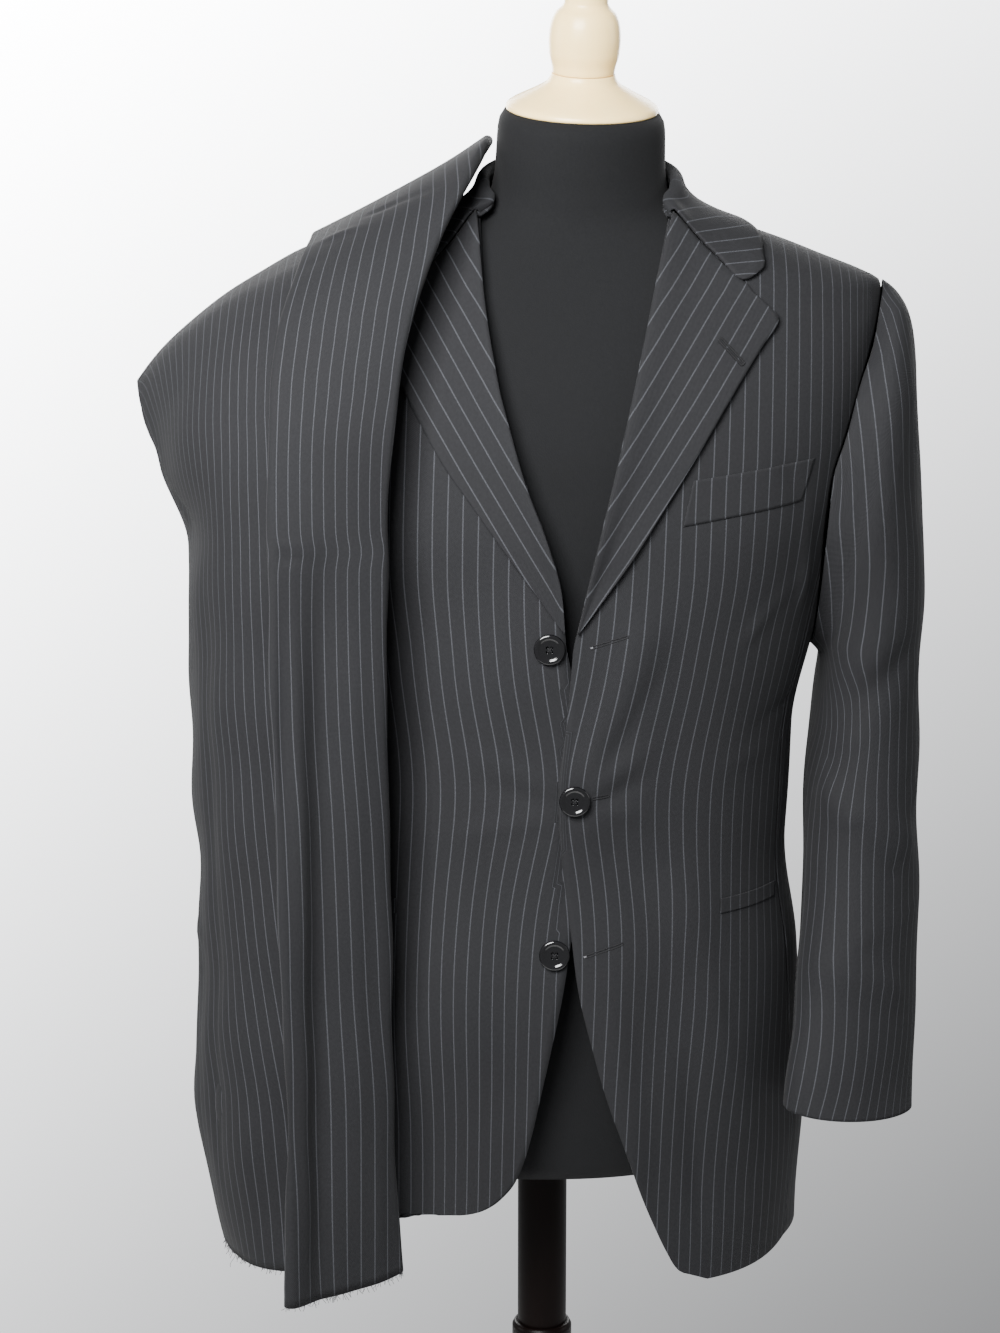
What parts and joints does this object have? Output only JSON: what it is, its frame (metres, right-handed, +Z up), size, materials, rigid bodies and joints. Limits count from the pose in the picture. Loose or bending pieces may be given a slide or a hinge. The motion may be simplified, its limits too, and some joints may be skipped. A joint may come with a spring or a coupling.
{
  "type": "two-piece suit on dress form",
  "caption": "Pinstripe single-breasted jacket with notch lapels, worn on a limbless dress form on a turned stand, with its trousers draped over one shoulder.",
  "frame": {"origin": "centre of the stand base's underside", "axes": "+Z up, the suit's front faces -Y, +X is the wearer's left"},
  "size_m": [0.6045, 0.4089, 1.662],
  "materials": {
    "suiting": "fine matt wool with thin pale stripes",
    "jersey": "matt stretch jersey",
    "pale_wood": "satin varnish",
    "dark_wood": "satin stain",
    "button": "gloss"
  },
  "bodies": {
    "root": {"front_left": "suiting", "front_right": "suiting", "side_left": "suiting", "side_right": "suiting", "back_left": "suiting", "back_right": "suiting", "lapel_left": "suiting", "lapel_right": "suiting", "collar": "suiting", "sleeve_left": "suiting", "sleeve_right": "suiting", "breast_welt": "suiting", "hip_pocket_left": "suiting", "hip_pocket_right": "suiting", "trouser_leg_left": "suiting", "trouser_leg_right": "suiting", "trouser_seat": "suiting", "waistband": "suiting", "dress_form": "jersey", "stand_base": "dark_wood", "stand_column": "dark_wood", "stand_pole": "dark_wood", "neck_cap": "pale_wood", "neck_finial": "pale_wood", "button_top": "button", "button_middle": "button", "button_bottom": "button"}
  },
  "joints": []
}
